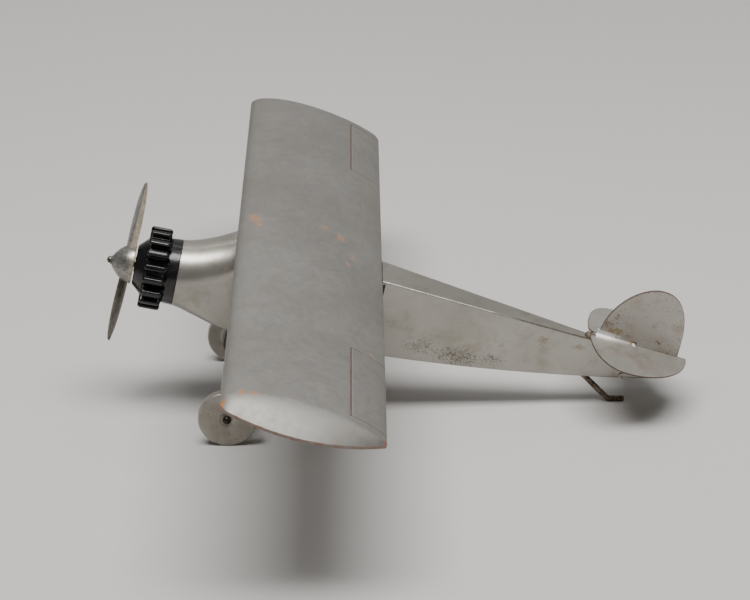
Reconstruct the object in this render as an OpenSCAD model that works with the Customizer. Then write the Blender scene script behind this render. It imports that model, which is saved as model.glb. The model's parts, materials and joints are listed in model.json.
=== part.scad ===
// Pressed-metal toy monoplane: high wing, radial engine, two wheels and a wire tail skid.
// +X is forward, +Y is port and +Z is up.  It stands on its wheels and skid at Z = 0.
// Airframe shapes are drawn on the thrust line, with stations measured aft of the spinner's base,
// and are then raised to the nose-up attitude in which the toy rests.

/* [Stance] */
// Nose-up angle of the thrust line when the toy stands
attitude = 12.1; // [11:0.1:13]
// Distance from the origin forward to the spinner's base
nose_x = 104.6; // [100:0.1:110]

/* [Wing] */
// Half span at the leading edge corner
half_span = 150; // [140:1:160]
// Chord between leading and trailing edges
chord = 58.6; // [54:0.2:62]
// Greatest height of the upper skin above the chord plane
wing_rise = 7; // [5:0.1:9]
// How far the tip bows outboard of its corners
tip_bow = 8; // [4:0.5:10]
// Width of the sloping tip, from its crease to the corner
tip_bevel = 6; // [4:0.5:10]
// Station of the leading edge
wing_station = 37.4; // [36:0.2:39]
// Height of the chord plane at the leading edge
wing_height = 21.6; // [21:0.1:22]
// Nose-up angle of the wing on the thrust line
incidence = 5; // [4:0.1:6]
// Depth of the rim below the chord plane
rim_depth = 1.1; // [0.8:0.1:1.6]

/* [Fuselage] */
// Thickness of the fuselage and wing sheet
sheet = 0.6; // [0.5:0.1:0.8]
// Radius of the round front of the shell
nose_r = 13.06; // [12.8:0.02:13.4]
// Station where the shell meets the engine
shell_start = 17.4; // [16.8:0.1:18]
// Station of the tail post
tail_post = 208; // [205:1:211]

/* [Engine] */
// Radius of the crankcase at the spinner
crank_r = 7.8; // [7.4:0.1:8.2]
// Radius over the cylinder heads
engine_r = 16.3; // [15.6:0.1:17]
// Number of cylinders
cylinders = 9; // [7:1:9]

/* [Propeller] */
// Radius at the blade tips
prop_r = 34.7; // [32:0.1:36]
// Length of the spinner
spinner_len = 9.1; // [8.5:0.1:9.6]
// Backward lean of the upper blade
blade_lean = 2.6; // [0:0.1:4]
// Radius of the propeller pin
pin_r = 1.2; // [1:0.05:1.3]

/* [Undercarriage] */
// Radius of the wheels
wheel_r = 11.3; // [10.5:0.1:12]
// Thickness of the wheel discs
wheel_w = 4.2; // [3.6:0.1:5]
// Station of the axle
axle_station = 46.4; // [44:0.2:49]
// Distance of the axle below the thrust line
axle_drop = 40.6; // [38:0.2:43]
// Radius of the axle
axle_r = 1.2; // [1:0.05:1.3]
// Distance from the centre plane to the inside of each axle lug
lug_y = 29.8; // [27:0.2:30.2]
// Sideways offset of the axle and wheels towards port
axle_offset = -1.8; // [-2:0.1:0]

/* [Tail] */
// Thickness of the tail stampings
tail_sheet = 0.5; // [0.4:0.1:0.6]
// Half span of the tailplane
tail_half = 29.3; // [27:0.1:31]
// Chord of the tailplane at the centre
tail_chord = 40.6; // [38:0.2:43]
// Radius of the skid wire
skid_r = 1.15; // [1:0.05:1.25]

/* [Hidden] */
$fn = 48;

// Clearances: round running fits, flat faces that pass each other, and cutter overshoot
running = 0.04;
air = 0.1;
over = 1;

// The wheels touch the ground, which sets how high the thrust line is
nose_z = wheel_r + axle_station * sin(attitude) + axle_drop * cos(attitude);

// Ground-frame place of a point given by station and height on the thrust line
function ground_x(station, height) = nose_x - station * cos(attitude) - height * sin(attitude);
function ground_z(station, height) = nose_z - station * sin(attitude) + height * cos(attitude);

// Moves a shape drawn on the thrust line, nose at +X, into the ground frame
module airframe() {
    translate([nose_x, 0, nose_z])
        rotate([0, -attitude, 0])
        children();
}

// A cylinder along the thrust line between two stations
module along(from, to, r) {
    translate([-to, 0, 0])
        rotate([0, 90, 0])
        cylinder(h = to - from, r = r);
}

// A cylinder across the airframe, centred on the centre plane
module across(station, height, r, length) {
    translate([-station, 0, height])
        rotate([90, 0, 0])
        cylinder(h = length, r = r, center = true);
}

function reversed(list) = [for (i = [len(list) - 1:-1:0]) list[i]];

// A solid skinned over rings of equal length, closed at both ends
module skin(rings) {
    count = len(rings[0]);
    last = len(rings) - 1;
    points = [for (ring = rings) for (p = ring) p];
    sides = [for (i = [0:last - 1]) for (k = [0:count - 1])
        [i * count + k, i * count + (k + 1) % count,
         (i + 1) * count + (k + 1) % count, (i + 1) * count + k]];
    start = [for (k = [count - 1:-1:0]) k];
    end = [for (k = [0:count - 1]) last * count + k];
    polyhedron(points = points, faces = concat([start], sides, [end]));
}

// ---------------------------------------------------------------- propeller

// Radius of the spinner at a distance ahead of its base
function spinner_at(u) = crank_r * pow(1 - pow(u / (spinner_len + 0.3), 2), 0.8);
spinner_steps = 10;
blade_root = 5;
blade_centre = 2.5;
washer_t = 0.3;
engine_front = 0.5;

// Blade chord and pitch angle at a fraction of the blade's length
function blade_chord(f) = 9 * pow(1 - pow(f, 5), 0.5) * (0.86 + 0.14 * sin(180 * f)) + 0.4;
function blade_pitch(f) = 27 - 6 * f;
function blade_thick(f) = 2.1 - 1.3 * f;

// Blade section: flat back, raised ridge in front of the middle
function blade_ring(f) =
    let (c = blade_chord(f) / 2, t = blade_thick(f), a = blade_pitch(f),
         r = blade_root + f * (prop_r - blade_root),
         section = [[-c, 0], [-0.6 * c, -0.3 * t], [0, -0.4 * t], [0.6 * c, -0.3 * t],
                    [c, 0], [0.5 * c, 0.35 * t], [0.1 * c, 0.6 * t], [-0.5 * c, 0.35 * t]])
    [for (p = section) [p[1] * cos(a) - p[0] * sin(a), p[0] * cos(a) + p[1] * sin(a), r]];

module blade() {
    steps = 9;
    translate([blade_centre, 0, 0])
        skin([for (i = [0:steps]) blade_ring(i / steps)]);
}

module propeller() {
    color([0.66, 0.64, 0.58])
        airframe()
        difference() {
            union() {
                rotate([0, 90, 0])
                    rotate_extrude()
                    polygon(concat([[0, 0]],
                        [for (i = [0:spinner_steps])
                            [spinner_at(spinner_len * i / spinner_steps), spinner_len * i / spinner_steps]],
                        [[0, spinner_len]]));
                for (turn = [0, 180])
                    rotate([0, -blade_lean, 0])
                    rotate([turn, 0, 0])
                    blade();
            }
            along(-spinner_len - over, over, pin_r + running);
        }
}

pin_head_r = 1.4;
nut_station = 25.3;
nut_t = 2.2;

module prop_pin() {
    color([0.16, 0.14, 0.13])
        airframe() {
            along(-spinner_len - air, nut_station + nut_t + 0.8, pin_r);
            difference() {
                translate([spinner_len + air, 0, 0])
                    sphere(r = pin_head_r);
                along(-spinner_len - air, 0, pin_head_r + over);
            }
        }
}

module prop_washer() {
    color("goldenrod")
        airframe()
        difference() {
            along(engine_front - washer_t, engine_front, 3);
            along(-over, engine_front + over, pin_r);
        }
}

// ---------------------------------------------------------------- engine

head_from = 4.2;
head_to = 12.8;
saddle_w = 7;
saddle_r = 13;
ridge_w = 2.4;
ridge_crest = 1.3;
ridge_turn = 9.5;

// A block with round ends, long along the thrust line, standing out radially between two radii
module stadium(length, width, r_in, r_out) {
    translate([-(head_from + head_to) / 2, 0, r_in]) {
        translate([-(length - width) / 2, -width / 2, 0])
            cube([length - width, width, r_out - r_in]);
        for (side = [-1, 1])
            translate([side * (length - width) / 2, 0, 0])
            cylinder(h = r_out - r_in, r = width / 2, $fn = 24);
    }
}

// A cylinder of the engine: a saddle with two tall ridges that run along the thrust line
module engine_cylinder() {
    length = head_to - head_from;
    stadium(length - 1, saddle_w, 9, saddle_r);
    for (side = [-1, 1])
        rotate([side * ridge_turn, 0, 0]) {
            stadium(length, ridge_w, 10, engine_r - 0.6);
            stadium(length - 1.2, ridge_crest, 10, engine_r);
        }
}

module radial_engine() {
    color([0.07, 0.07, 0.08])
        airframe()
        difference() {
            union() {
                rotate([0, -90, 0])
                    rotate_extrude()
                    polygon([[0, engine_front], [crank_r, engine_front], [11.4, 4.6], [12.4, 12.4],
                        [nose_r - 0.2, 13.4], [nose_r, shell_start], [nose_r - sheet - 0.1, shell_start],
                        [nose_r - sheet - 0.1, shell_start + 1.6], [0, shell_start + 1.6]]);
                for (i = [0:cylinders - 1])
                    rotate([i * 360 / cylinders - 4, 0, 0])
                    engine_cylinder();
            }
            along(-over, shell_start + 3, pin_r);
        }
}

block_from = shell_start + 1.7;

module nose_block() {
    color("burlywood")
        airframe()
        difference() {
            along(block_from, nut_station - 0.3, nose_r - sheet - 0.2);
            along(0, nut_station + over, pin_r);
        }
}

module pin_nut() {
    color([0.55, 0.5, 0.4])
        airframe()
        difference() {
            translate([-nut_station - nut_t, 0, 0])
                rotate([45, 0, 0])
                translate([0, -3, -3])
                cube([nut_t, 6, 6]);
            along(0, nut_station + nut_t + over, pin_r);
        }
}

// ---------------------------------------------------------------- fuselage

crest_r = 13.2;
wing_end = wing_station + chord * cos(incidence);
taper_from = wing_end - 1;
top_at_wing = 17.3;
tail_top_from = 181;
tail_top = 6.4;
tail_w = 0.75;
belly_flat = -14.7;
belly_from = 42;
belly_to = 196;
tail_set = 5.1;
tail_front = [181.6, 7.6];

// Height of the top, height of the bottom and half width of the rear fuselage at a station
function rear_top(s) = s < tail_top_from
    ? top_at_wing + (tail_top - top_at_wing) * (s - taper_from) / (tail_top_from - taper_from)
    : tail_top - (s - tail_top_from) * tan(tail_set);
function rear_bottom(s) = belly_flat + 7.6 * pow(max(0, s - 100) / (tail_post - 100), 2);
function rear_half(s) = 10.26 + (tail_w - 10.26) * (s - taper_from) / (tail_post - taper_from);

// Sections: [station, half width, top, bottom, top corner radius, bottom corner radius]
front_sections = [
    [shell_start, nose_r, nose_r, -nose_r, nose_r, nose_r],
    [21, 13.1, 14.1, -13.25, 13.1, 11.5],
    [25, 13.15, 15.3, -13.6, 13.15, 9],
    [29, 13.2, 16.8, -14.1, 13.2, 7],
    [33, 13.25, 18.7, -14.6, 13.2, 5],
    [37, 13.3, 20.8, -14.9, 12.8, 3.2],
    [42, 13.3, 21.1, -15, 6, 1.6],
    [52, 13.2, 21, -14.9, 2, 1],
    [66, 12.7, 20.4, -14.8, 1, 0.8],
    [80, 11.6, 19.6, -14.7, 0.8, 0.7]];
rear_stations = [taper_from, 110, 125, 140, 155, 170, tail_top_from, 190, 200, tail_post];
sections = concat(front_sections,
    [for (s = rear_stations) [s, rear_half(s), rear_top(s), rear_bottom(s), 0.7, 0.7]]);

corner_steps = 6;
least_corner = 0.45;

// Ring of a section shrunk by a wall thickness, its floor dropped to open the shell below
function section_ring(c, wall, drop) =
    let (w = c[1] - wall, top = c[2] - wall, bottom = c[3] + wall - drop,
         rt = min(w, max(least_corner, c[4] - wall)), rb = min(w, max(least_corner, c[5] - wall)),
         corners = [[w - rt, top - rt, rt, 0], [-w + rt, top - rt, rt, 90],
                    [-w + rb, bottom + rb, rb, 180], [w - rb, bottom + rb, rb, 270]])
    [for (q = corners) for (k = [0:corner_steps])
        let (a = q[3] + 90 * k / corner_steps)
        [-c[0], q[0] + q[2] * cos(a), q[1] + q[2] * sin(a)]];

// Section at any station between the listed ones
function section_at(s) =
    let (i = max([for (k = [0:len(sections) - 2]) if (sections[k][0] <= s) k]),
         f = (s - sections[i][0]) / (sections[i + 1][0] - sections[i][0]))
    sections[i] * (1 - f) + sections[i + 1] * f;

// The listed sections strictly between two stations, with one at each end
function sections_between(from, to) = concat([section_at(from)],
    [for (c = sections) if (c[0] > from + 0.05 && c[0] < to - 0.05) c], [section_at(to)]);

module hull_form(from, to, wall, drop) {
    skin([for (c = sections_between(from, to)) section_ring(c, wall, drop)]);
}

// Inside of the shell: closed below in the nose, and open below where the belly plate fits
module shell_hollow() {
    lip = 0.3;
    mouth = section_ring(section_at(shell_start), sheet, 0);
    skin(concat([[for (p = mouth) p + [over, 0, 0]]],
        [for (c = sections_between(shell_start, belly_from - lip)) section_ring(c, sheet, 0)],
        [for (c = sections_between(belly_from, belly_to)) section_ring(c, sheet, 4)],
        [section_ring(section_at(belly_to + lip), sheet, 0)]));
}

// Places a shape drawn forward from the leading edge, on the chord plane
module on_wing() {
    translate([-wing_station, 0, wing_height])
        rotate([0, -incidence, 0])
        children();
}

// Everything above the underside of the wing, where the fuselage is cut away to seat it
module wing_seat() {
    on_wing()
        translate([-chord - 0.1, -20, -rim_depth])
        cube([chord + 0.2, 40, 30]);
}

eyelet = [198.5, -7.3];
eyelet_r = 0.75;

// Where the skid's sloping rod would meet its foot, and its slope from the ground
skid_slope = 46.7;
skid_entry = [185.7, -11.9];
skid_knee_x = ground_x(skid_entry[0], skid_entry[1])
    - (ground_z(skid_entry[0], skid_entry[1]) - skid_r) / tan(skid_slope);

// Hole that the skid's rod makes through the belly and the seams
module skid_hole() {
    rotate([0, attitude, 0])
        translate([skid_knee_x - nose_x, 0, skid_r - nose_z])
        rotate([0, 90 - skid_slope, 0])
        cylinder(h = rod_len + over, r = skid_r + 0.06);
}

module fuselage_shell() {
    color([0.68, 0.67, 0.64])
        airframe()
        difference() {
            hull_form(shell_start, tail_post, 0, 0);
            shell_hollow();
            wing_seat();
            translate([-wing_end - 1.3, -20, 12.6])
                cube([1.5, 40, 3.4]);
            across(eyelet[0], eyelet[1], eyelet_r, 20);
            skid_hole();
        }
}

module belly_plate() {
    gap = 0.03;
    color([0.6, 0.59, 0.56])
        airframe()
        difference() {
            intersection() {
                hull_form(belly_from + gap, belly_to - gap, sheet + gap, 3);
                rotate([90, 0, 0])
                    linear_extrude(height = 40, center = true)
                    polygon(concat(
                        [for (s = [belly_from:14:belly_to]) [-s, section_at(s)[3]]],
                        [for (s = [belly_to:-14:belly_from]) [-s, section_at(s)[3] + sheet]]));
            }
            skid_hole();
            for (s = rivet_stations)
                translate([-s, 0, belly_flat - 5])
                cylinder(h = 10, r = gear_rivet_r);
        }
}

// Strap across the fuselage under the wing, with a flange down each side
bridge_w = 8;
bridge_drop = 6;
wing_rivet_r = 0.9;

// Half width inside the shell, less a hair, at a station
function inside_half(s) = section_at(s)[1] - sheet - 0.05;

module bridge(station) {
    half = min(inside_half(station - bridge_w / 2), inside_half(station + bridge_w / 2));
    along_wing = station - wing_station;
    color([0.5, 0.48, 0.45])
        airframe()
        difference() {
            on_wing()
                translate([-along_wing - bridge_w / 2, 0, -rim_depth - sheet]) {
                    translate([0, -half, 0])
                        cube([bridge_w, 2 * half, sheet]);
                    for (side = [-half, half - sheet])
                        translate([0, side, -bridge_drop])
                        cube([bridge_w, sheet, bridge_drop + sheet]);
                }
            on_wing()
                wing_rivet_holes(along_wing);
        }
}

rivet_y = 6;

module wing_rivet_holes(along_wing) {
    for (side = [-1, 1])
        translate([-along_wing, side * rivet_y, -rim_depth - 3])
        cylinder(h = 6, r = wing_rivet_r);
}

front_bridge_station = 58;
rear_bridge_station = 84;

module front_bridge() { bridge(front_bridge_station); }
module rear_bridge() { bridge(rear_bridge_station); }

// ---------------------------------------------------------------- wing

chord_steps = 12;
least_bevel = 1.2;
edge_rise = 0.15;

// Fraction along the chord, with steps crowded towards both edges
function chord_at(k) = (1 - cos(180 * k / chord_steps)) / 2;

// Height of the upper skin at a fraction along the chord
function rise_at(f, rise) = edge_rise + (rise - edge_rise) * pow(max(0, f), 0.5) * pow(max(0, 1 - f), 0.7) / 0.4426;

// Outboard reach of the tip's lower edge, and the crease inboard of it
function tip_reach(f, half) = half + tip_bow * 4 * f * (1 - f) - 5 * f * f;
function tip_crease(f, half) =
    min(half - tip_bevel - 6 * f * (1 - f) + 1.5 * f, tip_reach(f, half) - least_bevel);

// Bevel of the tip: fraction of the way from crease to edge, and the part of the height left there
bevel = [[0, 1], [0.12, 0.95], [0.35, 0.73], [0.65, 0.4], [0.88, 0.15], [1, 0]];

// Spanwise row of the skin at a fraction along the chord, from port to starboard
function wing_row(f, half, rise, length, inset) =
    let (crease = tip_crease(f, half), reach = tip_reach(f, half),
         port = [for (b = reversed(bevel))
            [-inset - f * length, crease + b[0] * (reach - crease), rise_at(f, rise) * b[1]]])
    concat(port, [for (p = reversed(port)) [p[0], -p[1], p[2]]]);

// Row and column of each point round the edge of the skin, starting along the leading edge
columns = 2 * len(bevel);
edge_cells = concat([for (c = [0:columns - 1]) [0, c]],
    [for (k = [1:chord_steps]) [k, columns - 1]],
    [for (c = [columns - 2:-1:0]) [chord_steps, c]],
    [for (k = [chord_steps - 1:-1:1]) [k, 0]]);

// Pressed sheet: an outer and an inner surface, each turned down at its edge, joined along the rim
module wing_skin() {
    outer = [for (k = [0:chord_steps]) wing_row(chord_at(k), half_span, wing_rise, chord, 0)];
    inner = [for (k = [0:chord_steps])
        wing_row(chord_at(k), half_span - sheet, wing_rise - sheet, chord - 2 * sheet, sheet)];
    grid = (chord_steps + 1) * columns;
    edge = len(edge_cells);
    points = concat([for (row = outer) for (p = row) p], [for (row = inner) for (p = row) p],
        [for (surface = [outer, inner]) for (e = edge_cells)
            let (p = surface[e[0]][e[1]]) [p[0], p[1], -rim_depth]]);
    cells = [for (k = [0:chord_steps - 1]) for (c = [0:columns - 2]) k * columns + c];
    top = [for (i = cells) [i, i + 1, i + columns + 1, i + columns]];
    underside = [for (i = cells) [i + grid, i + grid + columns, i + grid + columns + 1, i + grid + 1]];
    outer_edge = [for (e = edge_cells) e[0] * columns + e[1]];
    inner_edge = [for (i = outer_edge) i + grid];
    outer_foot = [for (i = [0:edge - 1]) 2 * grid + i];
    inner_foot = [for (i = [0:edge - 1]) 2 * grid + edge + i];
    loops = [outer_edge, outer_foot, inner_foot, inner_edge];
    walls = [for (n = [0:2]) for (i = [0:edge - 1])
        let (j = (i + 1) % edge) [loops[n][j], loops[n][i], loops[n + 1][i], loops[n + 1][j]]];
    color([0.6, 0.59, 0.56])
        airframe()
        on_wing()
        polyhedron(points = points, faces = concat(top, underside, walls));
}

module wing_floor() {
    edge = sheet + 0.05;
    floor_outline = concat(
        [for (k = [0:chord_steps]) let (f = chord_at(k))
            [-edge - f * (chord - 2 * edge), tip_reach(f, half_span - edge) - 0.2]],
        [for (k = [chord_steps:-1:0]) let (f = chord_at(k))
            [-edge - f * (chord - 2 * edge), -tip_reach(f, half_span - edge) + 0.2]]);
    color([0.5, 0.42, 0.36])
        airframe()
        on_wing()
        difference() {
            translate([0, 0, -rim_depth])
                linear_extrude(height = sheet)
                polygon(floor_outline);
            for (station = [front_bridge_station, rear_bridge_station])
                wing_rivet_holes(station - wing_station);
        }
}

module rivet(length, r, head_r) {
    cylinder(h = length, r = r);
    difference() {
        translate([0, 0, length])
            sphere(r = head_r);
        translate([0, 0, length - 2 * head_r])
            cube([4 * head_r, 4 * head_r, 4 * head_r], center = true);
    }
    translate([0, 0, -0.5])
        cylinder(h = 0.5, r = head_r);
}

module wing_rivets() {
    color([0.62, 0.6, 0.56])
        airframe()
        on_wing()
        for (station = [front_bridge_station, rear_bridge_station])
            for (side = [-1, 1])
                translate([-(station - wing_station), side * rivet_y, -rim_depth - sheet])
                rivet(2 * sheet, wing_rivet_r, 1.6);
}

// ---------------------------------------------------------------- undercarriage

strap_t = 1.2;
strap_w = 9;
strap_half = 9;
lug_top = 9;
gear_rivet_r = 1.1;
rivet_stations = [axle_station - 2.8, axle_station + 2.8];
strap_top = belly_flat - 0.35;

// Bent strap: a flat on the belly, two splayed legs, and an upright lug for the axle on each
module gear_strap() {
    drop = -strap_top - strap_t;
    leg_y = lug_y + strap_t / 2 - strap_half;
    leg_z = axle_drop - drop - lug_top;
    leg = sqrt(leg_y * leg_y + leg_z * leg_z);
    splay = atan2(leg_y, leg_z);
    color([0.35, 0.33, 0.31])
        airframe()
        difference() {
            translate([-axle_station, 0, 0])
                union() {
                    translate([-strap_w / 2, -strap_half, strap_top - strap_t])
                        cube([strap_w, 2 * strap_half, strap_t]);
                    for (side = [-1, 1]) {
                        bend(side * strap_half, strap_top - strap_t / 2);
                        bend(side * (lug_y + strap_t / 2), -axle_drop + lug_top);
                        translate([0, side * strap_half, strap_top - strap_t / 2])
                            rotate([side * splay, 0, 0])
                            translate([-strap_w / 2, -strap_t / 2, -leg])
                            cube([strap_w, strap_t, leg]);
                        translate([-strap_w / 2, side * (lug_y + strap_t / 2) - strap_t / 2, -axle_drop])
                            cube([strap_w, strap_t, lug_top]);
                        translate([0, side * (lug_y + strap_t / 2), -axle_drop])
                            rotate([90, 0, 0])
                            cylinder(h = strap_t, r = strap_w / 2, center = true);
                    }
                }
            across(axle_station, -axle_drop, axle_r, 3 * lug_y);
            for (s = rivet_stations)
                translate([-s, 0, strap_top - strap_t - over])
                cylinder(h = strap_t + 2 * over, r = gear_rivet_r);
        }
}

// Round of a strap bend, across the strap's width
module bend(y, z) {
    translate([-strap_w / 2, y, z])
        rotate([0, 90, 0])
        cylinder(h = strap_w, r = strap_t / 2);
}

module gear_rivets() {
    color([0.6, 0.58, 0.54])
        airframe()
        for (s = rivet_stations)
            translate([-s, 0, strap_top - strap_t])
            rivet(strap_t + sheet + 0.25, gear_rivet_r, 2);
}

head_r = 1.75;
wheel_gap = 0.25;
boss_h = 0.8;
wheel_out = 39.2;

// Ground-frame place of the axle
module at_axle(y) {
    translate([ground_x(axle_station, -axle_drop), y + axle_offset, wheel_r])
        children();
}

module axle() {
    reach = wheel_out + wheel_gap / 2;
    color([0.13, 0.11, 0.1])
        at_axle(0) {
            rotate([90, 0, 0])
                cylinder(h = 2 * reach, r = axle_r, center = true);
            for (side = [-1, 1])
                difference() {
                    translate([0, side * reach, 0])
                        sphere(r = head_r);
                    translate([0, side * (reach - 2 * head_r), 0])
                        cube(4 * head_r, center = true);
                }
        }
}

// Turned disc with its outer face at z = 0 and a stepped boss inboard
module wheel() {
    edge = 0.35;
    difference() {
        rotate_extrude($fn = 96)
            polygon([[0, -wheel_w - boss_h], [5.2, -wheel_w - boss_h], [5.3, -wheel_w - 0.3],
                [6.3, -wheel_w], [wheel_r - edge, -wheel_w], [wheel_r, -wheel_w + edge],
                [wheel_r, -edge], [wheel_r - edge, 0], [3, 0], [2.4, -0.25], [0, -0.25]]);
        translate([0, 0, -wheel_w - boss_h - over])
            cylinder(h = wheel_w + boss_h + 2 * over, r = axle_r + running);
    }
}

module wheel_port() {
    color([0.56, 0.53, 0.48])
        at_axle(wheel_out)
        rotate([-90, 0, 0])
        wheel();
}

module wheel_starboard() {
    color([0.56, 0.53, 0.48])
        at_axle(-wheel_out)
        rotate([90, 0, 0])
        wheel();
}

// ---------------------------------------------------------------- tail

bend_r = 1.3;
slit_from = 199.4;
slit_to = 201.2;
fin_mid = [205, 9];
fin_top = 22.1;
fin_front = 19.4;
fin_rear = 13.5;
front_max = 14;
outline_steps = 10;

// Quarter of a rounded outline of given half axes and fullness, from the tip of x to the tip of y
function quarter(a, b, n) = [for (i = [0:outline_steps])
    let (t = 90 * i / outline_steps) [a * pow(cos(t), 2 / n), b * pow(sin(t), 2 / n)]];

// Fin seen from the side, on the thrust line
module fin_outline() {
    polygon(concat(
        [[-fin_mid[0] - fin_rear, 4.9]],
        [for (p = quarter(fin_rear, fin_top, 2.5)) [-fin_mid[0] - p[0], fin_mid[1] + p[1]]],
        [for (p = reversed(quarter(fin_front, fin_top, 1.75))) [-fin_mid[0] + p[0], fin_mid[1] + p[1]]],
        [[-184.2, 8.3], [-183, 7.75]]));
}

// Half tailplane seen from above, front at the origin, running aft
module tailplane_outline() {
    polygon(concat([[0, 0]],
        [for (p = quarter(front_max, tail_half, 2.5)) [-front_max + p[0], p[1]]],
        [for (p = reversed(quarter(tail_chord - front_max, tail_half, 1.8))) [-front_max - p[0], p[1]]]));
}

// Places a shape on the tailplane, whose front is at the origin
module on_tailplane() {
    translate([-tail_front[0], 0, tail_front[1]])
        rotate([0, -tail_set, 0])
        children();
}

// Port stamping: half tailplane, its root folded up into a leaf of the fin
module tail_leaf() {
    leaf = 0.02;
    inner = bend_r + leaf + tail_sheet;
    bend_from = slit_from - tail_front[0];
    on_tailplane()
        difference() {
            linear_extrude(height = tail_sheet)
                tailplane_outline();
            translate([-bend_from, -over, -over])
                cube([bend_from + over, inner + over, 3]);
            translate([-(slit_to - tail_front[0]), -over, -over])
                cube([slit_to - slit_from + over, inner + 1.2 + over, 3]);
            translate([-tail_chord - over, -over, -over])
                cube([tail_chord + 2 * over, leaf + over, 3]);
        }
    intersection() {
        translate([0, leaf + tail_sheet, 0])
            rotate([90, 0, 0])
            linear_extrude(height = tail_sheet)
            fin_outline();
        on_tailplane()
            translate([-tail_chord, -over, bend_r + tail_sheet - 0.01])
            cube([tail_chord + 2, 5, 40]);
    }
    on_tailplane()
        translate([-bend_from, 0, 0])
        fold(bend_from - 3.2, leaf + tail_sheet + bend_r, bend_r + tail_sheet);
    aft_root(leaf);
}

// Quarter-round fold between the flat tailplane and the upright leaf
module fold(length, y, z) {
    intersection() {
        translate([0, y, z])
            rotate([0, 90, 0])
            difference() {
                cylinder(h = length, r = bend_r + tail_sheet);
                translate([0, 0, -over])
                    cylinder(h = length + 2 * over, r = bend_r);
            }
        translate([0, y - bend_r - tail_sheet, 0])
            cube([length, bend_r + tail_sheet + 0.01, z]);
    }
}

// The leaf's lower edge behind the slit, where it stands on the tailplane
module aft_root(leaf) {
    intersection() {
        translate([0, leaf + tail_sheet, 0])
            rotate([90, 0, 0])
            linear_extrude(height = tail_sheet)
            fin_outline();
        on_tailplane()
            translate([-tail_chord, -over, tail_sheet])
            cube([tail_chord - (slit_to - tail_front[0]), 5, bend_r + 0.1]);
    }
}

module tail_port() {
    color([0.62, 0.61, 0.58])
        airframe()
        tail_leaf();
}

module tail_starboard() {
    color([0.62, 0.61, 0.58])
        airframe()
        mirror([0, 1, 0])
        tail_leaf();
}

module tail_solder() {
    color([0.5, 0.42, 0.3])
        airframe()
        on_tailplane()
        difference() {
            translate([-1, 0, -1.3])
                sphere(r = 2.4);
            translate([-14, -10, -0.02])
                cube([14.02, 20, 10]);
            translate([-20, -10, -11.05])
                cube([40, 20, 10]);
        }
}

module tail_eyelet() {
    half = rear_half(eyelet[0] - 1.5);
    flange = 0.35;
    color([0.3, 0.27, 0.22])
        airframe()
        difference() {
            union() {
                across(eyelet[0], eyelet[1], eyelet_r, 2 * half + flange);
                for (side = [-1, 1])
                    translate([0, side * (half + flange / 2), 0])
                    across(eyelet[0], eyelet[1], 1.15, flange);
            }
            across(eyelet[0], eyelet[1], 0.45, 20);
        }
}

// ---------------------------------------------------------------- skid

foot_len = 6.6;
knee_r = 3;
rod_len = 19;

knee_steps = 6;
wire_sides = 16;
knee_tangent = knee_r * tan(skid_slope / 2);

// Ring of the wire round a point on its centre line, square to a direction up from the ground
function wire_ring(x, z, slope) = [for (k = [0:wire_sides - 1])
    let (a = 360 * k / wire_sides)
    [x - skid_r * cos(a) * sin(slope), skid_r * sin(a), z + skid_r * cos(a) * cos(slope)]];

// Bent wire in the ground frame: a foot on the ground, a round knee and a sloping rod
module skid_wire() {
    knee = [for (k = [0:knee_steps])
        let (a = skid_slope * k / knee_steps)
        wire_ring(knee_r * sin(a) - knee_tangent, knee_r * (1 - cos(a)), a)];
    color([0.2, 0.15, 0.11])
        translate([skid_knee_x, 0, skid_r])
        skin(concat([wire_ring(-foot_len, 0, 0)], knee,
            [wire_ring(rod_len * cos(skid_slope), rod_len * sin(skid_slope), skid_slope)]));
}

propeller();
prop_pin();
prop_washer();
radial_engine();
nose_block();
pin_nut();
fuselage_shell();
belly_plate();
front_bridge();
rear_bridge();
wing_skin();
wing_floor();
wing_rivets();
gear_strap();
gear_rivets();
axle();
wheel_port();
wheel_starboard();
tail_port();
tail_starboard();
tail_solder();
tail_eyelet();
skid_wire();
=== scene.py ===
"""Looks of a pressed-metal toy monoplane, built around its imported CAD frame."""
import json
import math

import bmesh
import bpy
import numpy as np
from mathutils import Matrix, Vector


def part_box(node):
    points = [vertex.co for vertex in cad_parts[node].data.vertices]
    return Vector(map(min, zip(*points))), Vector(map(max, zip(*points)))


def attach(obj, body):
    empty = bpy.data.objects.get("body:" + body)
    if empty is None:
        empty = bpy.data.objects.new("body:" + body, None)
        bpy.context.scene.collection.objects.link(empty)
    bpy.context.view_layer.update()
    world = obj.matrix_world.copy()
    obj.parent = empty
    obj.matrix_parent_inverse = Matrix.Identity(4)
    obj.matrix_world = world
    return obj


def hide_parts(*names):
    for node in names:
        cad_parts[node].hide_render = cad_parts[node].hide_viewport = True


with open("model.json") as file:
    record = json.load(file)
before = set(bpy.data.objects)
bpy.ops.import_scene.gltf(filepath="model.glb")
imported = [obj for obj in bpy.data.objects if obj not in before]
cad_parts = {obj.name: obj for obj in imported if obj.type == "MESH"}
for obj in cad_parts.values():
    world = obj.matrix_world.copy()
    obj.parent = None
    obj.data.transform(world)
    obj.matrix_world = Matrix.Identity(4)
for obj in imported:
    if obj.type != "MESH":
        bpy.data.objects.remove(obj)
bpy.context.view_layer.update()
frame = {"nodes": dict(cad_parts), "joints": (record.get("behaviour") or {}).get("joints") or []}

MM = 0.001
SEED = 7

# ------------ frame of the airframe

joints = {j["name"]: j for j in frame["joints"]}
NOSE = np.array(joints["propeller_spin"]["pos_m"], float)
FORWARD = np.array(joints["propeller_spin"]["axis"], float)
FORWARD /= np.linalg.norm(FORWARD)
PORT = np.array([0.0, 1.0, 0.0])
UP = np.cross(FORWARD, PORT)


def aloft(points):
    """Points given as (station aft of the spinner's base, side, height) in mm, in the row frame."""
    p = np.asarray(points, float)
    return NOSE + (-p[..., 0:1] * FORWARD + p[..., 1:2] * PORT + p[..., 2:3] * UP) * MM


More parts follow.
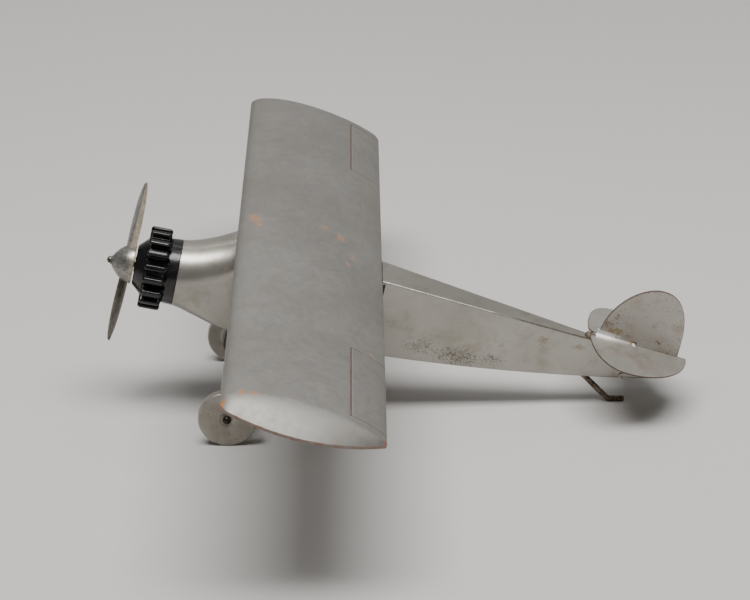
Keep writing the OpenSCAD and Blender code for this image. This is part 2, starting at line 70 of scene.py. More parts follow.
# ------------ mesh helpers

def make_object(name, vertices, faces, smooth_angle=35.0):
    mesh = bpy.data.meshes.new(name)
    mesh.from_pydata([tuple(v) for v in np.asarray(vertices).reshape(-1, 3)], [], faces)
    mesh.validate()
    mesh.update()
    obj = bpy.data.objects.new(name, mesh)
    bpy.context.scene.collection.objects.link(obj)
    shade(obj, smooth_angle)
    return obj


def shade(obj, angle):
    """Smooth shading with edges sharper than the angle kept crisp."""
    mesh = obj.data
    mesh.polygons.foreach_set("use_smooth", [True] * len(mesh.polygons))
    mesh.set_sharp_from_angle(angle=math.radians(angle))


def strips(rows, columns, closed=False, offset=0, flip=False):
    """Quads of a grid of points, its columns joined round when closed."""
    faces = []
    for i in range(rows - 1):
        for j in range(columns if closed else columns - 1):
            k = (j + 1) % columns
            face = (offset + i * columns + j, offset + i * columns + k,
                    offset + (i + 1) * columns + k, offset + (i + 1) * columns + j)
            faces.append(face[::-1] if flip else face)
    return faces


def loft(name, rings, smooth_angle=35.0):
    """A skin over closed rings of equal length, with its two ends capped."""
    rings = np.asarray(rings, float)
    rows, columns = rings.shape[:2]
    faces = strips(rows, columns, closed=True)
    faces.append(tuple(range(columns))[::-1])
    faces.append(tuple((rows - 1) * columns + k for k in range(columns)))
    obj = make_object(name, rings, faces, smooth_angle)
    fix_normals(obj)
    return obj


def mark(obj, name, values):
    """A number on each vertex, which the object's material reads."""
    attribute = obj.data.attributes.new(name, "FLOAT", "POINT")
    attribute.data.foreach_set("value", np.asarray(values, np.float32).ravel())


def fix_normals(obj):
    """Turns the faces of a closed mesh outwards."""
    work = bmesh.new()
    work.from_mesh(obj.data)
    bmesh.ops.recalc_face_normals(work, faces=work.faces)
    work.to_mesh(obj.data)
    work.free()


def bevel(obj, width, segments, angle):
    modifier = obj.modifiers.new("bevel", "BEVEL")
    modifier.width = width * MM
    modifier.segments = segments
    modifier.limit_method = "ANGLE"
    modifier.angle_limit = math.radians(angle)


def joined(name, parts):
    """One object made of several."""
    for o in bpy.context.selected_objects:
        o.select_set(False)
    for o in parts:
        o.select_set(True)
    bpy.context.view_layer.objects.active = parts[0]
    bpy.ops.object.join()
    obj = bpy.context.view_layer.objects.active
    obj.name = name
    obj.data.name = name
    return obj


def finish_piece(obj, body, material, node):
    """Gives a new mesh its material and body, in place of a CAD node."""
    obj.data.materials.clear()
    obj.data.materials.append(material)
    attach(obj, body)
    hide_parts(node)
    return obj


def smoothstep(x, low, high):
    t = np.clip((np.asarray(x, float) - low) / (high - low), 0, 1)
    return t * t * (3 - 2 * t)


def near(distance, reach):
    """1 at no distance, fading smoothly over a reach."""
    return np.exp(-(distance / reach) ** 2)


def patches(u, v, table):
    """The strongest of several soft ellipses, each a centre, two radii and a strength."""
    total = np.zeros(len(u))
    for centre_u, centre_v, radius_u, radius_v, strength in table:
        ellipse = near(u - centre_u, radius_u) * near(v - centre_v, radius_v)
        total = np.maximum(total, strength * ellipse)
    return total


# ------------ materials

class Paint:
    """A material's node tree, with short calls for the nodes that are used again and again."""

    def __init__(self, name):
        self.material = bpy.data.materials.new(name)
        self.material.use_nodes = True
        self.tree = self.material.node_tree
        self.shader = self.tree.nodes["Principled BSDF"]
        self.place = self.tree.nodes.new("ShaderNodeTexCoord").outputs["Object"]

    def node(self, kind, **settings):
        node = self.tree.nodes.new(kind)
        for key, value in settings.items():
            setattr(node, key, value)
        return node

    def plug(self, value, socket):
        if isinstance(value, bpy.types.NodeSocket):
            self.tree.links.new(value, socket)
        else:
            socket.default_value = value

    def stretched(self, x, y, z):
        mapping = self.node("ShaderNodeMapping")
        self.plug(self.place, mapping.inputs["Vector"])
        mapping.inputs["Scale"].default_value = (x, y, z)
        return mapping.outputs["Vector"]

    def noise(self, size, detail=4.0, rough=0.55, seed=0.0, vector=None):
        """Noise whose blotches are about size mm across."""
        node = self.node("ShaderNodeTexNoise", noise_dimensions="4D")
        self.plug(vector or self.place, node.inputs["Vector"])
        node.inputs["W"].default_value = SEED + seed
        node.inputs["Scale"].default_value = 1.0 / (size * MM)
        node.inputs["Detail"].default_value = detail
        node.inputs["Roughness"].default_value = rough
        return node.outputs["Fac"]

    def between(self, value, low, high, to_low=0.0, to_high=1.0):
        node = self.node("ShaderNodeMapRange", interpolation_type="SMOOTHSTEP")
        self.plug(value, node.inputs["Value"])
        node.inputs["From Min"].default_value = low
        node.inputs["From Max"].default_value = high
        node.inputs["To Min"].default_value = to_low
        node.inputs["To Max"].default_value = to_high
        return node.outputs["Result"]

    def maths(self, operation, *values):
        node = self.node("ShaderNodeMath", operation=operation)
        for value, socket in zip(values, node.inputs):
            self.plug(value, socket)
        return node.outputs[0]

    def mix(self, factor, a, b):
        node = self.node("ShaderNodeMix", data_type="RGBA")
        self.plug(factor, node.inputs["Factor"])
        for value, socket in ((a, node.inputs["A"]), (b, node.inputs["B"])):
            self.plug(value if isinstance(value, bpy.types.NodeSocket) else (*value, 1.0), socket)
        return node.outputs["Result"]

    def attribute(self, name):
        return self.node("ShaderNodeAttribute", attribute_name=name).outputs["Fac"]

    def patchy(self, mask, size, seed=0.0, low=0.35, high=0.65, spread=0.9):
        """A mask broken up by noise, so that it has ragged edges."""
        broken = self.maths("MULTIPLY_ADD", self.noise(size, 5.0, 0.6, seed), spread, -spread / 2)
        ragged = self.between(self.maths("ADD", mask, broken), low, high)
        return self.maths("MULTIPLY", ragged, self.between(mask, 0.04, 0.2))

    def specks(self, size, amount, seed):
        """Sparse dark specks about size mm across; a larger amount gives more of them."""
        fine = self.noise(size, 2.0, 0.5, seed)
        return self.between(fine, 0.72 - amount, 0.78 - amount)

    def bump(self, height, depth, strength=1.0):
        node = self.node("ShaderNodeBump")
        node.inputs["Strength"].default_value = strength
        node.inputs["Distance"].default_value = depth * MM
        self.plug(height, node.inputs["Height"])
        return node.outputs["Normal"]

    def done(self, colour, rough, metallic, normal):
        self.plug(colour, self.shader.inputs["Base Color"])
        self.plug(rough, self.shader.inputs["Roughness"])
        self.plug(metallic, self.shader.inputs["Metallic"])
        self.plug(normal, self.shader.inputs["Normal"])
        return self.material


SPECK, ROUGH_SWING = (0.13, 0.105, 0.08), 0.3


def silver(name, light, dark, rough=0.42, metallic=0.75, warm=(0.33, 0.27, 0.2), warmth=0.35,
           pits=0.02, grainy=0.4, marks=()):
    """Worn silvered sheet: cloudy tone, warm stains, specks, and marks that the mesh's attributes place.

    Each mark is an attribute's name, a colour, the size of its ragged edge in mm, and how much it dulls.
    """
    paint = Paint(name)
    cloud = paint.between(paint.noise(38, 4, 0.6, 1), 0.3, 0.7)
    fine = paint.between(paint.noise(2.2, 5, 0.65, 2), 0.25, 0.75)
    tone = paint.maths("MULTIPLY_ADD", cloud, 1 - grainy, paint.maths("MULTIPLY", fine, grainy))
    colour = paint.mix(tone, dark, light)
    warm_noise = paint.between(paint.noise(11, 6, 0.72, 3), 0.47, 0.68)
    colour = paint.mix(paint.maths("MULTIPLY", warm_noise, warmth), colour, warm)
    swing = ROUGH_SWING * grainy
    roughness = paint.maths("MULTIPLY_ADD", fine, swing, rough - swing / 2)
    colour = paint.mix(paint.specks(0.45, pits, 4), colour, SPECK)
    metal = metallic
    for attribute, tint, size, dulling in marks:
        mask = paint.patchy(paint.attribute(attribute), size, seed=5 + len(attribute))
        colour = paint.mix(mask, colour, tint)
        if dulling:
            metal = paint.maths("SUBTRACT", metal, paint.maths("MULTIPLY", mask, dulling))
    grain = paint.noise(0.35, 3, 0.6, 9)
    return paint.done(colour, roughness, metal, paint.bump(grain, 0.003, 0.2))


def wing_metal():
    return silver("wing_metal", light=(0.31, 0.302, 0.284), dark=(0.235, 0.227, 0.213),
                  rough=0.56, metallic=0.7, warm=(0.24, 0.21, 0.17), warmth=0.4, pits=0.0,
                  marks=(("rust", (0.25, 0.125, 0.07), 1.6, 0.6),
                         ("smear", (0.34, 0.155, 0.065), 0.9, 0.75),
                         ("groove", (0.085, 0.04, 0.024), 1.6, 0.9)))


def fuselage_metal():
    return silver("fuselage_metal", light=(0.44, 0.422, 0.385), dark=(0.34, 0.325, 0.29),
                  rough=0.31, metallic=0.8, warm=(0.255, 0.222, 0.165), warmth=0.5, pits=0.028,
                  grainy=0.15,
                  marks=(("stain", (0.25, 0.19, 0.13), 3.0, 0.4),
                         ("pitting", (0.075, 0.062, 0.045), 0.7, 0.4),
                         # besides real seams, this dark mark is painted shade in the notch behind the wing
                         ("seam", (0.11, 0.08, 0.06), 1.6, 0.5),
                         ("wear", (0.85, 0.84, 0.8), 0.8, 0.0)))


def tail_metal():
    return silver("tail_metal", light=(0.49, 0.47, 0.435), dark=(0.42, 0.4, 0.365),
                  rough=0.44, metallic=0.72, warm=(0.3, 0.22, 0.14), warmth=0.5, pits=0.085,
                  marks=(("edge", (0.1, 0.065, 0.045), 1.0, 0.6),
                         ("stain", (0.3, 0.22, 0.11), 1.4, 0.4),
                         ("pitting", (0.2, 0.135, 0.085), 0.6, 0.5),
                         # on the fold this light mark is a painted highlight; on the plates it is zero
                         ("wear", (0.85, 0.84, 0.81), 1.2, 0.0)))


def wheel_metal():
    paint = Paint("wheel_metal")
    cloud = paint.between(paint.noise(7, 5, 0.65, 1), 0.3, 0.7)
    colour = paint.mix(cloud, (0.3, 0.275, 0.235), (0.42, 0.395, 0.35))
    rings = paint.between(paint.attribute("turning"), 0.3, 0.7)
    colour = paint.mix(paint.maths("MULTIPLY", rings, 0.14), colour, (0.5, 0.47, 0.42))
    colour = paint.mix(paint.specks(0.9, 0.035, 3), colour, (0.05, 0.04, 0.03))
    rough = paint.between(paint.noise(2, 4, 0.6, 4), 0.2, 0.8, 0.38, 0.52)
    height = paint.maths("ADD", paint.noise(0.5, 3, 0.6, 5), paint.maths("MULTIPLY", rings, 0.15))
    return paint.done(colour, rough, 0.7, paint.bump(height, 0.02))


def engine_black():
    paint = Paint("engine_black")
    dust = paint.between(paint.noise(5, 5, 0.7, 1), 0.5, 0.85)
    colour = paint.mix(dust, (0.006, 0.006, 0.0065), (0.022, 0.02, 0.019))
    chips = paint.maths("MULTIPLY", paint.specks(1.6, 0.0, 2), 0.8)
    colour = paint.mix(chips, colour, (0.22, 0.17, 0.13))
    rough = paint.between(paint.noise(1.5, 4, 0.6, 3), 0.2, 0.8, 0.16, 0.3)
    return paint.done(colour, rough, 0.0, paint.bump(paint.noise(1.6, 3, 0.5, 4), 0.03))


def propeller_paint():
    """Grey metal under worn cream, which the blades' and the spinner's marks place, and brown that is
    tarnish on the spinner and painted shade on the lower blade.
    """
    paint = Paint("propeller_paint")
    mottling = paint.between(paint.noise(2.4, 5, 0.7, 1), 0.3, 0.7)
    grey = paint.mix(mottling, (0.13, 0.13, 0.12), (0.36, 0.352, 0.325))
    gold = paint.mix(mottling, (0.42, 0.36, 0.25), (0.74, 0.67, 0.53))
    brown = paint.mix(mottling, (0.11, 0.085, 0.06), (0.22, 0.18, 0.13))
    colour = paint.mix(paint.patchy(paint.attribute("cream"), 2.2, 2, 0.3, 0.7, 0.5), grey, gold)
    # brown: tarnish on the spinner, painted shade on the lower blade
    colour = paint.mix(paint.patchy(paint.attribute("tarnish_and_painted_shade"), 2.5, 3, 0.3, 0.7, 0.5), colour, brown)
    colour = paint.mix(paint.specks(0.8, 0.06, 4), colour, (0.06, 0.05, 0.04))
    rough = paint.between(paint.noise(1.5, 4, 0.6, 5), 0.2, 0.8, 0.3, 0.46)
    return paint.done(colour, rough, 0.7, paint.bump(paint.noise(0.8, 4, 0.65, 6), 0.05))


def dark_wire(name, dark, light, rough=0.4):
    paint = Paint(name)
    mottling = paint.between(paint.noise(1.3, 5, 0.7, 1), 0.42, 0.72)
    colour = paint.mix(mottling, dark, light)
    spread = paint.between(paint.noise(0.8, 4, 0.6, 2), 0.2, 0.8, rough - 0.08, rough + 0.12)
    return paint.done(colour, spread, 0.75, paint.bump(paint.noise(0.5, 4, 0.6, 3), 0.05))


def turned_wood():
    paint = Paint("block_wood")
    grain = paint.noise(1.2, 5, 0.6, 1, paint.stretched(0.12, 1, 1))
    colour = paint.mix(paint.between(grain, 0.3, 0.7), (0.42, 0.28, 0.15), (0.62, 0.46, 0.28))
    return paint.done(colour, 0.6, 0.0, paint.bump(grain, 0.05))


def floor_paper():
    paint = Paint("floor_paper")
    cloud = paint.between(paint.noise(260, 3, 0.5, 1), 0.3, 0.7)
    colour = paint.mix(cloud, (0.545, 0.537, 0.522), (0.56, 0.552, 0.537))
    return paint.done(colour, 0.85, 0.0, paint.bump(paint.noise(1.2, 3, 0.5, 2), 0.01))


# ------------ wing

WING_STATION, WING_HEIGHT, INCIDENCE = 37.4, 21.6, math.radians(5)
CHORD, HALF_SPAN, WING_RISE, RIM = 58.6, 150.0, 7.0, 1.1
TIP_BOW, TIP_BEVEL, LEAST_BEVEL, EDGE_RISE = 8.0, 6.0, 1.2, 0.15
SHEET = 0.6
HINGE_AT = 0.757
AILERON_IN, AILERON_OUT = 86.8, 140.0
GROOVE_HALF, GROOVE_DEPTH, GROOVE_SHOULDER = 0.55, 0.22, 1.6
RISE_PEAK = 0.4426  # the largest value of sqrt(f) * (1 - f) ** 0.7
TIP_SWEEP, TIP_ROUNDING, TIP_ROUNDING_LENGTH = 5, 2.4, 3
CREASE_BOW, CREASE_DRIFT = 6, 1.5
TIP_ROWS = (0.35, 0.7, 0.92)
BEVEL_ROWS = (0, 0.07, 0.15, 0.25, 0.36, 0.48, 0.6, 0.72, 0.83, 0.92, 0.97, 1.0)
CHORD_STEPS, SPAN_STEP = 46, 3.5


def on_wing(points):
    """Points given as (aft of the leading edge, side, height above the chord plane) in mm."""
    p = np.asarray(points, float)
    c, s = math.cos(INCIDENCE), math.sin(INCIDENCE)
    station = WING_STATION + p[..., 0] * c + p[..., 2] * s
    height = WING_HEIGHT - p[..., 0] * s + p[..., 2] * c
    return aloft(np.stack([station, p[..., 1], height], -1))


def wing_rise(f, rise):
    """Height of the skin at a fraction of the chord."""
    return EDGE_RISE + (rise - EDGE_RISE) * np.sqrt(max(f, 0)) * max(1 - f, 0) ** 0.7 / RISE_PEAK


def tip_reach(f, half):
    """Distance out to the tip's edge at a fraction of the chord."""
    rounding = TIP_ROUNDING * max(0, 1 - f * CHORD / TIP_ROUNDING_LENGTH) ** 2
    return half + 4 * TIP_BOW * f * (1 - f) - TIP_SWEEP * f * f - rounding


def tip_crease(f, half):
    """Distance out to the line where the skin starts to slope down to the tip."""
    crease = half - TIP_BEVEL - CREASE_BOW * f * (1 - f) + CREASE_DRIFT * f
    return min(crease, tip_reach(f, half) - LEAST_BEVEL)


def wing_row(f, sides, half, rise, length, inset):
    """Points along the span at one fraction of the chord: fixed sides inboard, then the tips."""
    z, crease, reach = wing_rise(f, rise), tip_crease(f, half), tip_reach(f, half)
    fullness = 1.75 - 0.5 * f
    limit = max(sides)
    tip = [(limit + k * (crease - limit), z) for k in TIP_ROWS]
    tip += [(crease + b * (reach - crease), z * (1 - b ** fullness)) for b in BEVEL_ROWS]
    inner = [(y, z) for y in sorted(sides, reverse=True)]
    starboard = [(-y, h) for y, h in tip]
    return np.array([(inset + f * length, y, h) for y, h in tip[::-1] + inner + starboard])


def groove_lines(middle, half_width):
    """Five positions across a scribed line: its shoulders, its edges and its bottom."""
    return [middle + k * half_width for k in (-GROOVE_SHOULDER, -1, 0, 1, GROOVE_SHOULDER)]


def chord_fractions():
    base = [(1 - math.cos(math.pi * k / CHORD_STEPS)) / 2 for k in range(CHORD_STEPS + 1)]
    half_width = GROOVE_HALF / CHORD
    kept = [f for f in base if abs(f - HINGE_AT) > (GROOVE_SHOULDER + 1) * half_width]
    return sorted(kept + groove_lines(HINGE_AT, half_width))


def span_sides():
    edges = groove_lines(AILERON_IN, GROOVE_HALF) + groove_lines(AILERON_OUT, GROOVE_HALF)
    last = AILERON_OUT + 0.6
    base = np.arange(0, last, SPAN_STEP).tolist()
    kept = [y for y in base if all(abs(y - e) > 1.2 for e in edges)]
    half = kept + edges
    return sorted(set([-y for y in half] + half))


def in_groove(aft, side):
    """How deep a point is in an aileron's hinge line and in its end lines, each from 0 to 1."""
    y = np.abs(side)
    across_hinge = np.clip(1 - np.abs(aft - HINGE_AT * CHORD) / GROOVE_HALF, 0, 1)
    hinge = across_hinge * ((y > AILERON_IN - 0.1) & (y < AILERON_OUT + 0.1))
    ends = np.zeros_like(y)
    for edge in (AILERON_IN, AILERON_OUT):
        ends = np.maximum(ends, np.clip(1 - np.abs(y - edge) / GROOVE_HALF, 0, 1))
    ends = ends * (aft >= HINGE_AT * CHORD - 0.05)
    return hinge, ends


# Orange smears on the wing: distance aft, side, radius, which is larger along the span, and strength
SMEARS = [(5, -8, 4.6, 0.57), (7, -2, 3.4, 0.56), (33, -12, 4.0, 0.53), (40, -8, 4.0, 0.57),
          (45, 5, 3.4, 0.53), (43, 14, 3.0, 0.5), (54.5, 104, 1.1, 0.7), (6, 143.5, 2.6, 0.6),
          (10, 144.5, 2.6, 0.56), (0.5, 147.6, 1.1, 0.9), (8, 58, 1.6, 0.45), (3.5, 64, 1.8, 0.48),
          (2.5, 124, 2.0, 0.5), (53, 85, 2.4, 0.5)]
SMEAR_STRETCH = 1.6


def wing_mesh(outer, inner):
    """Points and faces of the skin: two surfaces, each with a rim turned down, joined along the rims."""
    rows, columns = outer.shape[:2]
    border = [(0, c) for c in range(columns)] + [(k, columns - 1) for k in range(1, rows)]
    border += [(rows - 1, c) for c in range(columns - 2, -1, -1)]
    border += [(k, 0) for k in range(rows - 2, 0, -1)]
    size, count = rows * columns, len(border)

    def foot(surface):
        points = np.array([surface[i, j] for i, j in border])
        points[:, 2] = -RIM
        return points

    points = np.concatenate([outer.reshape(-1, 3), inner.reshape(-1, 3), foot(outer), foot(inner)])
    edge_ids = [i * columns + j for i, j in border]
    loops = [edge_ids, [2 * size + i for i in range(count)],
             [2 * size + count + i for i in range(count)], [size + i for i in edge_ids]]
    faces = strips(rows, columns) + strips(rows, columns, offset=size, flip=True)
    for upper, lower in zip(loops, loops[1:]):
        for i in range(count):
            k = (i + 1) % count
            faces.append((upper[k], upper[i], lower[i], lower[k]))
    return points, faces


def wing_rust(points):
    """Rust on the rim, the tips, the trailing edge and its corners, and the outer leading edge."""
    aft, side, height = points[:, 0], np.abs(points[:, 1]), points[:, 2]
    reach = np.array([tip_reach(min(max(a / CHORD, 0), 1), HALF_SPAN) for a in aft])
    corner = np.hypot(aft - CHORD + 0.8, side - HALF_SPAN + 5.5)
    return np.max([0.5 * near(height + RIM, 0.5),
                   0.46 * near(np.maximum(reach - side, 0), 0.4),
                   0.5 * near(np.maximum(CHORD - aft, 0), 0.4),
                   0.7 * near(corner, 1.7),
                   0.4 * np.exp(-aft / 1.2) * smoothstep(side, 60, 140)], axis=0)


def wing():
    fractions, sides = chord_fractions(), span_sides()
    outer = np.array([wing_row(f, sides, HALF_SPAN, WING_RISE, CHORD, 0) for f in fractions])
    inner = np.array([wing_row(f, sides, HALF_SPAN - SHEET, WING_RISE - SHEET,
                               CHORD - 2 * SHEET, SHEET) for f in fractions])
    hinge, ends = in_groove(outer[..., 0], outer[..., 1])
    outer[..., 2] -= GROOVE_DEPTH * np.maximum(hinge, 0.25 * ends)
    points, faces = wing_mesh(outer, inner)
    obj = make_object("wing", on_wing(points), faces, 24)
    fix_normals(obj)
    groove = np.zeros(len(points))
    groove[:hinge.size] = np.maximum(hinge, 0.8 * ends).ravel()
    smears = [(aft, side, r, SMEAR_STRETCH * r, strength) for aft, side, r, strength in SMEARS]
    mark(obj, "rust", wing_rust(points))
    mark(obj, "smear", patches(points[:, 0], points[:, 1], smears))
    mark(obj, "groove", groove)
    return finish_piece(obj, "airframe", wing_metal(), "wing_skin")


# ------------ fuselage

NOSE_R, SHELL_START, TAIL_POST = 13.06, 17.4, 208.0
WING_END = WING_STATION + CHORD * math.cos(INCIDENCE)
TAIL_TOP_FROM, TAIL_TOP, TAIL_W = 181.0, 6.4, 0.75
TOP_AT_WING, WIDTH_AT_WING = 17.3, 10.26
BELLY, BELLY_RISE, BELLY_LEVEL_TO = -14.7, 7.6, 100
SWELL_TO, SWELL, SWELL_CURVE = 37, 7.74, 1.45
FOLD_R, SEAT_OVERLAP = 0.55, 0.35
NOTCH_LOW, NOTCH_HIGH, NOTCH_DEPTH = 11.4, 15.4, 1.1
TAIL_SET = math.radians(5.1)
# Station, half width, top, bottom, top corner radius, bottom corner radius
NOSE_SECTIONS = np.array([
    (SHELL_START, NOSE_R, NOSE_R, -NOSE_R, NOSE_R, NOSE_R), (21, 13.1, 14.1, -13.25, 13.1, 11.5),
    (25, 13.15, 15.3, -13.6, 13.15, 9), (29, 13.2, 16.8, -14.1, 13.2, 7), (33, 13.25, 18.7, -14.6, 13.2, 5),
    (37, 13.3, 20.8, -14.9, 12.8, 3.2), (42, 13.3, 21.1, -15, 6, 1.6), (52, 13.2, 21, -14.9, 2, 1),
    (66, 12.7, 20.4, -14.8, 1, 0.8), (80, 11.6, 19.6, -14.7, 0.8, 0.7)])


def seat_height(s):
    """Height of the wing's underside at a station."""
    return WING_HEIGHT - (s - WING_STATION) * math.tan(INCIDENCE) - RIM


def section(s):
    """Half width, top, bottom and the two corner radii of the shell at a station."""
    start = WING_END - 1
    if s <= NOSE_SECTIONS[-1, 0]:
        stations = NOSE_SECTIONS[:, 0]
        w, top, bottom, r_top, r_bottom = (np.interp(s, stations, NOSE_SECTIONS[:, k])
                                           for k in range(1, 6))
        if s < SWELL_TO:
            rise = (s - SHELL_START) / (SWELL_TO - SHELL_START)
            top = NOSE_R + SWELL * rise ** SWELL_CURVE
    else:
        w = WIDTH_AT_WING + (TAIL_W - WIDTH_AT_WING) * (s - start) / (TAIL_POST - start)
        if s < start:
            w = np.interp(s, (NOSE_SECTIONS[-1, 0], start), (NOSE_SECTIONS[-1, 1], WIDTH_AT_WING))
        top = TOP_AT_WING + (TAIL_TOP - TOP_AT_WING) * (s - start) / (TAIL_TOP_FROM - start)
        if s > TAIL_TOP_FROM:
            top = TAIL_TOP - (s - TAIL_TOP_FROM) * math.tan(TAIL_SET)
        aft = max(0, s - BELLY_LEVEL_TO) / (TAIL_POST - BELLY_LEVEL_TO)
        bottom = BELLY + BELLY_RISE * aft ** 2
        r_top = r_bottom = FOLD_R
    if WING_STATION - 1.5 < s < WING_END + 0.05:
        top = min(top, seat_height(s) + SEAT_OVERLAP)
    return w, top, bottom, min(r_top, w), min(r_bottom, w)


def section_ring(s, arc=9, side=14):
    """Ring round a section: four arcs at the corners, with extra points down each flat side."""
    w, top, bottom, rt, rb = section(s)
    points = []

    def corner(cy, cz, r, start):
        for k in range(arc + 1):
            a = math.radians(start + 90 * k / arc)
            points.append((s, cy + r * math.cos(a), cz + r * math.sin(a)))

    def run(a, b):
        for k in range(1, side):
            f = k / side
            points.append((s, a[0] + (b[0] - a[0]) * f, a[1] + (b[1] - a[1]) * f))

    corner(w - rt, top - rt, rt, 0)
    run((w - rt, top), (-w + rt, top))
    corner(-w + rt, top - rt, rt, 90)
    run((-w, top - rt), (-w, bottom + rb))
    corner(-w + rb, bottom + rb, rb, 180)
    run((-w + rb, bottom), (w - rb, bottom))
    corner(w - rb, bottom + rb, rb, 270)
    run((w, bottom + rb), (w, top - rt))
    return points


CREASE_FADES = (138, 152)  # stations over which the creases' bright wear ends
CREASE_DARKENS = (140, 156)  # stations over which their dark seam starts
DIP_DEPTH, DIP_GROWS, DIP_FADES = 0.12, (100, 120), (165, 195)
# Pitting and stains on the sides: station, height, their two radii, strength
SIDE_PITS = [(131, -10, 22, 8, 0.49), (116, -8, 13, 7, 0.45), (146, -9, 11, 6, 0.45),
             (103, -3, 9, 7, 0.33), (100, 8, 6, 4, 0.34), (160, -6, 14, 6, 0.32)]
SIDE_STAINS = [(164, 3, 9, 3.5, 0.5), (149, -4, 4, 5, 0.46), (178, 2, 6, 3, 0.5),
               (31, -4, 3, 4, 0.42), (27, -9, 4, 3, 0.4), (35.5, 11, 2, 3, 0.5),
               (184, -9, 5, 4, 0.45), (24, -12, 3, 2, 0.5), (200, -2, 7, 6, 0.42)]


def shell_stations():
    """Stations of the shell's rings, closest at the nose's swelling and behind the wing."""
    stations = [*np.arange(SHELL_START, 44, 0.8), *np.arange(44, WING_END - 1, 3.0)]
    stations += [WING_END - 0.3, WING_END + 0.02, WING_END + 0.1]
    stations += [*np.arange(WING_END + 0.25, WING_END + 2.6, 0.3)]
    return stations + [*np.arange(WING_END + 3.2, TAIL_POST, 1.6), TAIL_POST]


def mark_shell(obj, local, notch):
    """Worn creases behind the wing, dark seams, painted shade in the notch behind the wing, pitting low on
    the sides, and stains.
    """
    s, y, h = (local[..., k].ravel() for k in range(3))
    sections = np.repeat([section(v) for v in local[:, 0, 0]], local.shape[1], axis=0)
    width, top, bottom = sections[:, 0], sections[:, 1], sections[:, 2]
    crease = near(top - h, 0.3) * (np.abs(y) > width - 1.0) * (s > WING_END + 0.15)
    seam = np.max([0.8 * crease * smoothstep(s, *CREASE_DARKENS),
                   0.42 * near(h - bottom, 0.5),
                   # painted shade in the recess of the notch behind the wing
                   1.3 * notch.ravel(),
                   0.5 * near(s - SHELL_START, 0.6)], axis=0)
    mark(obj, "wear", 0.62 * crease * (1 - smoothstep(s, *CREASE_FADES)))
    mark(obj, "seam", seam)
    mark(obj, "pitting", patches(s, h, SIDE_PITS) * smoothstep(np.abs(y), 1.0, 2.0))
    mark(obj, "stain", patches(s, h, SIDE_STAINS))


def fuselage():
    """The shell, with a notch behind the wing and a faint dip along each rear side."""
    local = np.array([section_ring(s) for s in shell_stations()])
    s, y, h = local[..., 0], local[..., 1], local[..., 2]
    notch = (s > WING_END + 0.2) & (s < WING_END + 1.4) & (h > NOTCH_LOW) & (h < NOTCH_HIGH)
    middle = np.clip((h + 3) / 12, -1, 1)
    along = smoothstep(s, *DIP_GROWS) * (1 - smoothstep(s, *DIP_FADES))
    dip = DIP_DEPTH * along * (1 - middle ** 2)
    local[..., 1] -= np.sign(y) * (NOTCH_DEPTH * notch + dip)
    obj = loft("fuselage", aloft(local), smooth_angle=38)
    mark_shell(obj, local, notch)
    return finish_piece(obj, "airframe", fuselage_metal(), "fuselage_shell")


# ------------ engine

HEAD_FROM, HEAD_TO = 4.2, 12.8
CYLINDERS, ENGINE_PHASE = 9, -4.0
ENGINE_R, RIDGE_WIDTH, RIDGE_TURN = 16.3, 2.4, 9.5
RIDGE_FOOT, CREST_ROUND, CREST_STEPS = 10.5, 0.95, 6
CREST_OFF_LENGTH, CREST_OFF_WIDTH, CREST_LAST = 2.4, 1.35, 0.5
# Radii over which a shallow groove runs round each ridge, and what it takes off its length and width
LINE_RADII, LINE_OFF_LENGTH, LINE_OFF_WIDTH = (13.9, 14.0, 14.2, 14.3), 0.3, 0.24
# Radius, length and width at each level of the saddle that carries a cylinder's two ridges
SADDLE = [(9.5, 7.6, 7.0), (12.6, 7.6, 7.0), (12.9, 7.2, 6.6), (13.0, 6.4, 5.8)]
# Station and radius of the crankcase
CRANKCASE = [(0.5, 0.0), (0.5, 7.6), (4.4, 11.3), (12.2, 12.3), (13.4, 12.86), (SHELL_START, NOSE_R),
             (SHELL_START, 12.4), (SHELL_START + 1.6, 12.36), (SHELL_START + 1.6, 0.0)]


def circle(steps):
    """Cosine and sine of evenly spaced turns."""
    turns = [2 * math.pi * k / steps for k in range(steps)]
    return [(math.cos(t), math.sin(t)) for t in turns]


def turned(name, profile, steps=96):
    """A body turned about the thrust line from (station, radius) pairs, nearly closed on the axis."""
    rings = [[(station, max(radius, 0.01) * c, max(radius, 0.01) * s) for c, s in circle(steps)]
             for station, radius in profile]
    return loft(name, aloft(rings), smooth_angle=30)


def rounded_profile(points, radius, steps=4):
    """The profile with each inner corner replaced by a short curve."""
    result = [points[0]]
    for before, here, after in zip(points, points[1:], points[2:]):
        here, ends = np.array(here, float), []
        for other in (before, after):
            away = np.array(other, float) - here
            length = np.linalg.norm(away)
            ends.append(here + away / length * min(radius, 0.45 * length))
        for k in range(steps + 1):
            t = k / steps
            result.append(tuple((1 - t) ** 2 * ends[0] + 2 * t * (1 - t) * here + t * t * ends[1]))
    return result + [points[-1]]


def stadium(length, width, radius, turn, steps=10):
    """Ring of a round-ended outline lying across a cylinder's axis, at a radius from the thrust line."""
    middle, straight = (HEAD_FROM + HEAD_TO) / 2, max(0.05, (length - width) / 2)
    a = math.radians(turn)
    ring = []
    for side, start in ((1, -90), (-1, 90)):
        for k in range(steps + 1):
            t = math.radians(start + 180 * k / steps)
            u = side * straight + width / 2 * math.cos(t)
            v = width / 2 * math.sin(t)
            ring.append((middle + u, radius * math.sin(a) + v * math.cos(a),
                         radius * math.cos(a) - v * math.sin(a)))
    return ring


def stacked(name, levels, turn):
    """A body through round-ended outlines, from (radius, length, width) levels."""
    rings = [stadium(length, width, radius, turn) for radius, length, width in levels]
    return loft(name, aloft(rings), smooth_angle=50)


